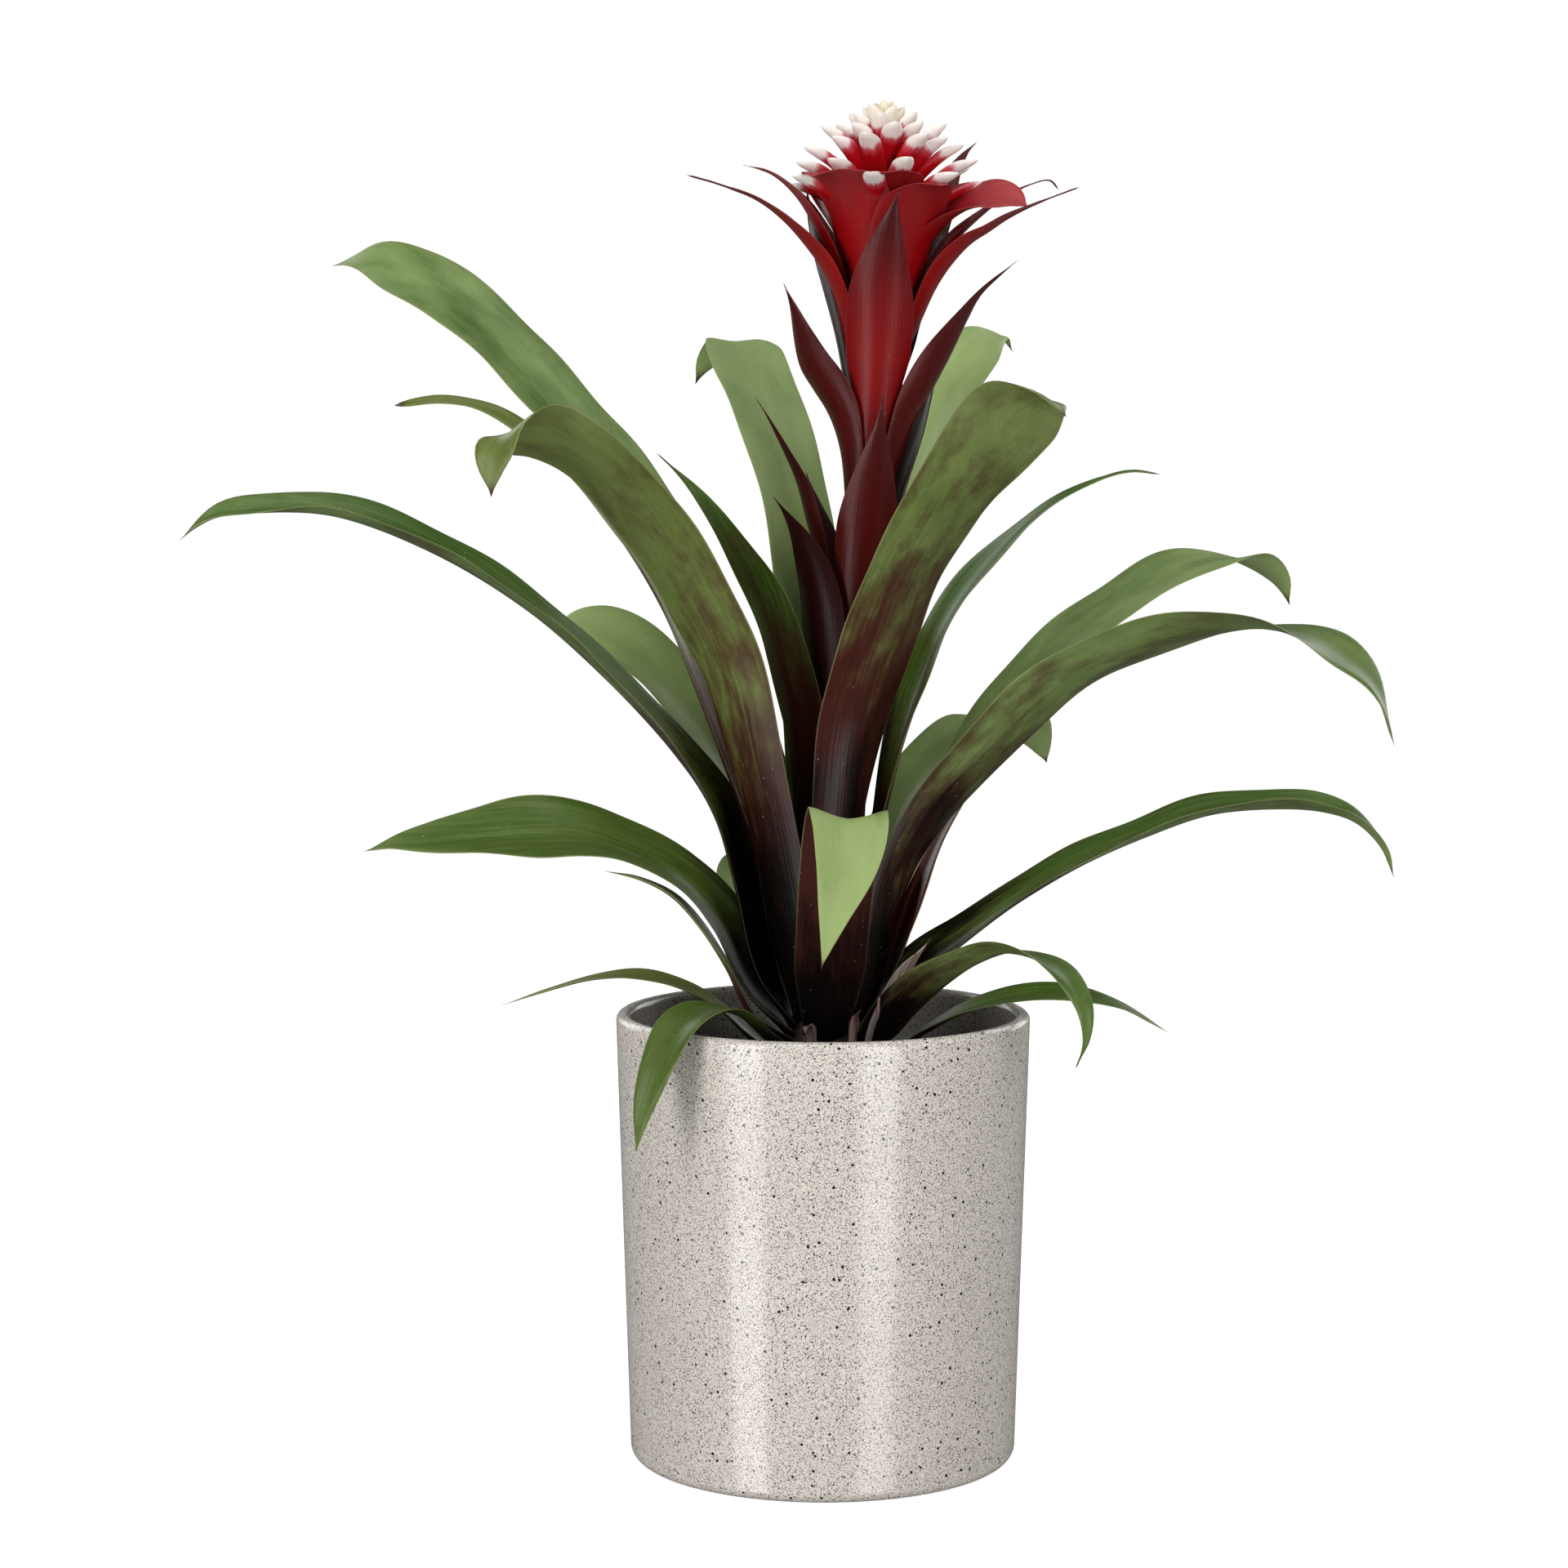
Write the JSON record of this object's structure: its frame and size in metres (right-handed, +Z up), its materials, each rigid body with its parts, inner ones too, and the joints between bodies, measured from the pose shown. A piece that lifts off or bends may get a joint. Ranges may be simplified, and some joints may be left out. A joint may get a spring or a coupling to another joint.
{
  "type": "potted guzmania",
  "caption": "Potted bromeliad with arching strap leaves and a leafy red flower stem ending in a star-shaped head, in a speckled round cover pot.",
  "frame": {"origin": "centre of the cover pot's flat underside", "axes": "+Z up along the cover pot's axis; the plant's pictured front faces -Y; +X is to the right seen from the front"},
  "size_m": [0.4088, 0.293, 0.4552],
  "materials": {
    "glaze": "glossy warm light grey glaze with fine dark speckles",
    "grower_plastic": "matt dark brown moulded plastic",
    "peat": "loose damp peat with fibres and bark chips",
    "stem_skin": "satin plant tissue, green to dark red",
    "leaf_green": "satin leaf, green tip running to a dark maroon foot",
    "bract_red": "satin bract, dark maroon to crimson",
    "flower_red": "waxy bract, crimson with white and cream tips"
  },
  "bodies": {
    "root": {"cover_pot": "glaze", "grower_pot": "grower_plastic", "soil": "peat", "stem": "stem_skin", "leaf_inner_left": "leaf_green", "leaf_back_upright": "leaf_green", "leaf_back_right_upright": "leaf_green", "leaf_front_right_tall": "leaf_green", "leaf_back_left_tall": "leaf_green", "leaf_right_slender": "leaf_green", "leaf_left_slender": "leaf_green", "leaf_front_left_tall": "leaf_green", "leaf_back_arched": "leaf_green", "leaf_back_left_arched": "leaf_green", "leaf_back_right_arched": "leaf_green", "leaf_front_right_arched": "leaf_green", "leaf_left_long": "leaf_green", "leaf_back_right_low": "leaf_green", "leaf_right_hidden": "leaf_green", "leaf_back_low": "leaf_green", "leaf_front_folded": "leaf_green", "leaf_right_long": "leaf_green", "leaf_left_broad": "leaf_green", "leaf_left_hidden": "leaf_green", "leaf_front_right_low": "leaf_green", "leaf_front_left_drooping": "leaf_green", "leaf_left_small": "leaf_green", "leaf_right_small": "leaf_green", "cup_bract_front": "bract_red", "cup_bract_back_right": "bract_red", "cup_bract_back_left": "bract_red", "cup_bract_right": "bract_red", "cup_bract_front_right": "bract_red", "cup_bract_back": "bract_red", "cup_bract_front_left": "bract_red", "stem_bract_01": "bract_red", "stem_bract_02": "bract_red", "stem_bract_03": "bract_red", "stem_bract_04": "bract_red", "stem_bract_05": "bract_red", "stem_bract_06": "bract_red", "stem_bract_07": "bract_red", "stem_bract_08": "bract_red", "stem_bract_09": "bract_red", "stem_bract_10": "bract_red", "stem_bract_11": "bract_red", "stem_bract_12": "bract_red", "stem_bract_13": "bract_red", "stem_bract_14": "bract_red", "stem_bract_15": "bract_red", "stem_bract_16": "bract_red", "stem_bract_17": "bract_red", "flower_head": "flower_red"}
  },
  "joints": []
}
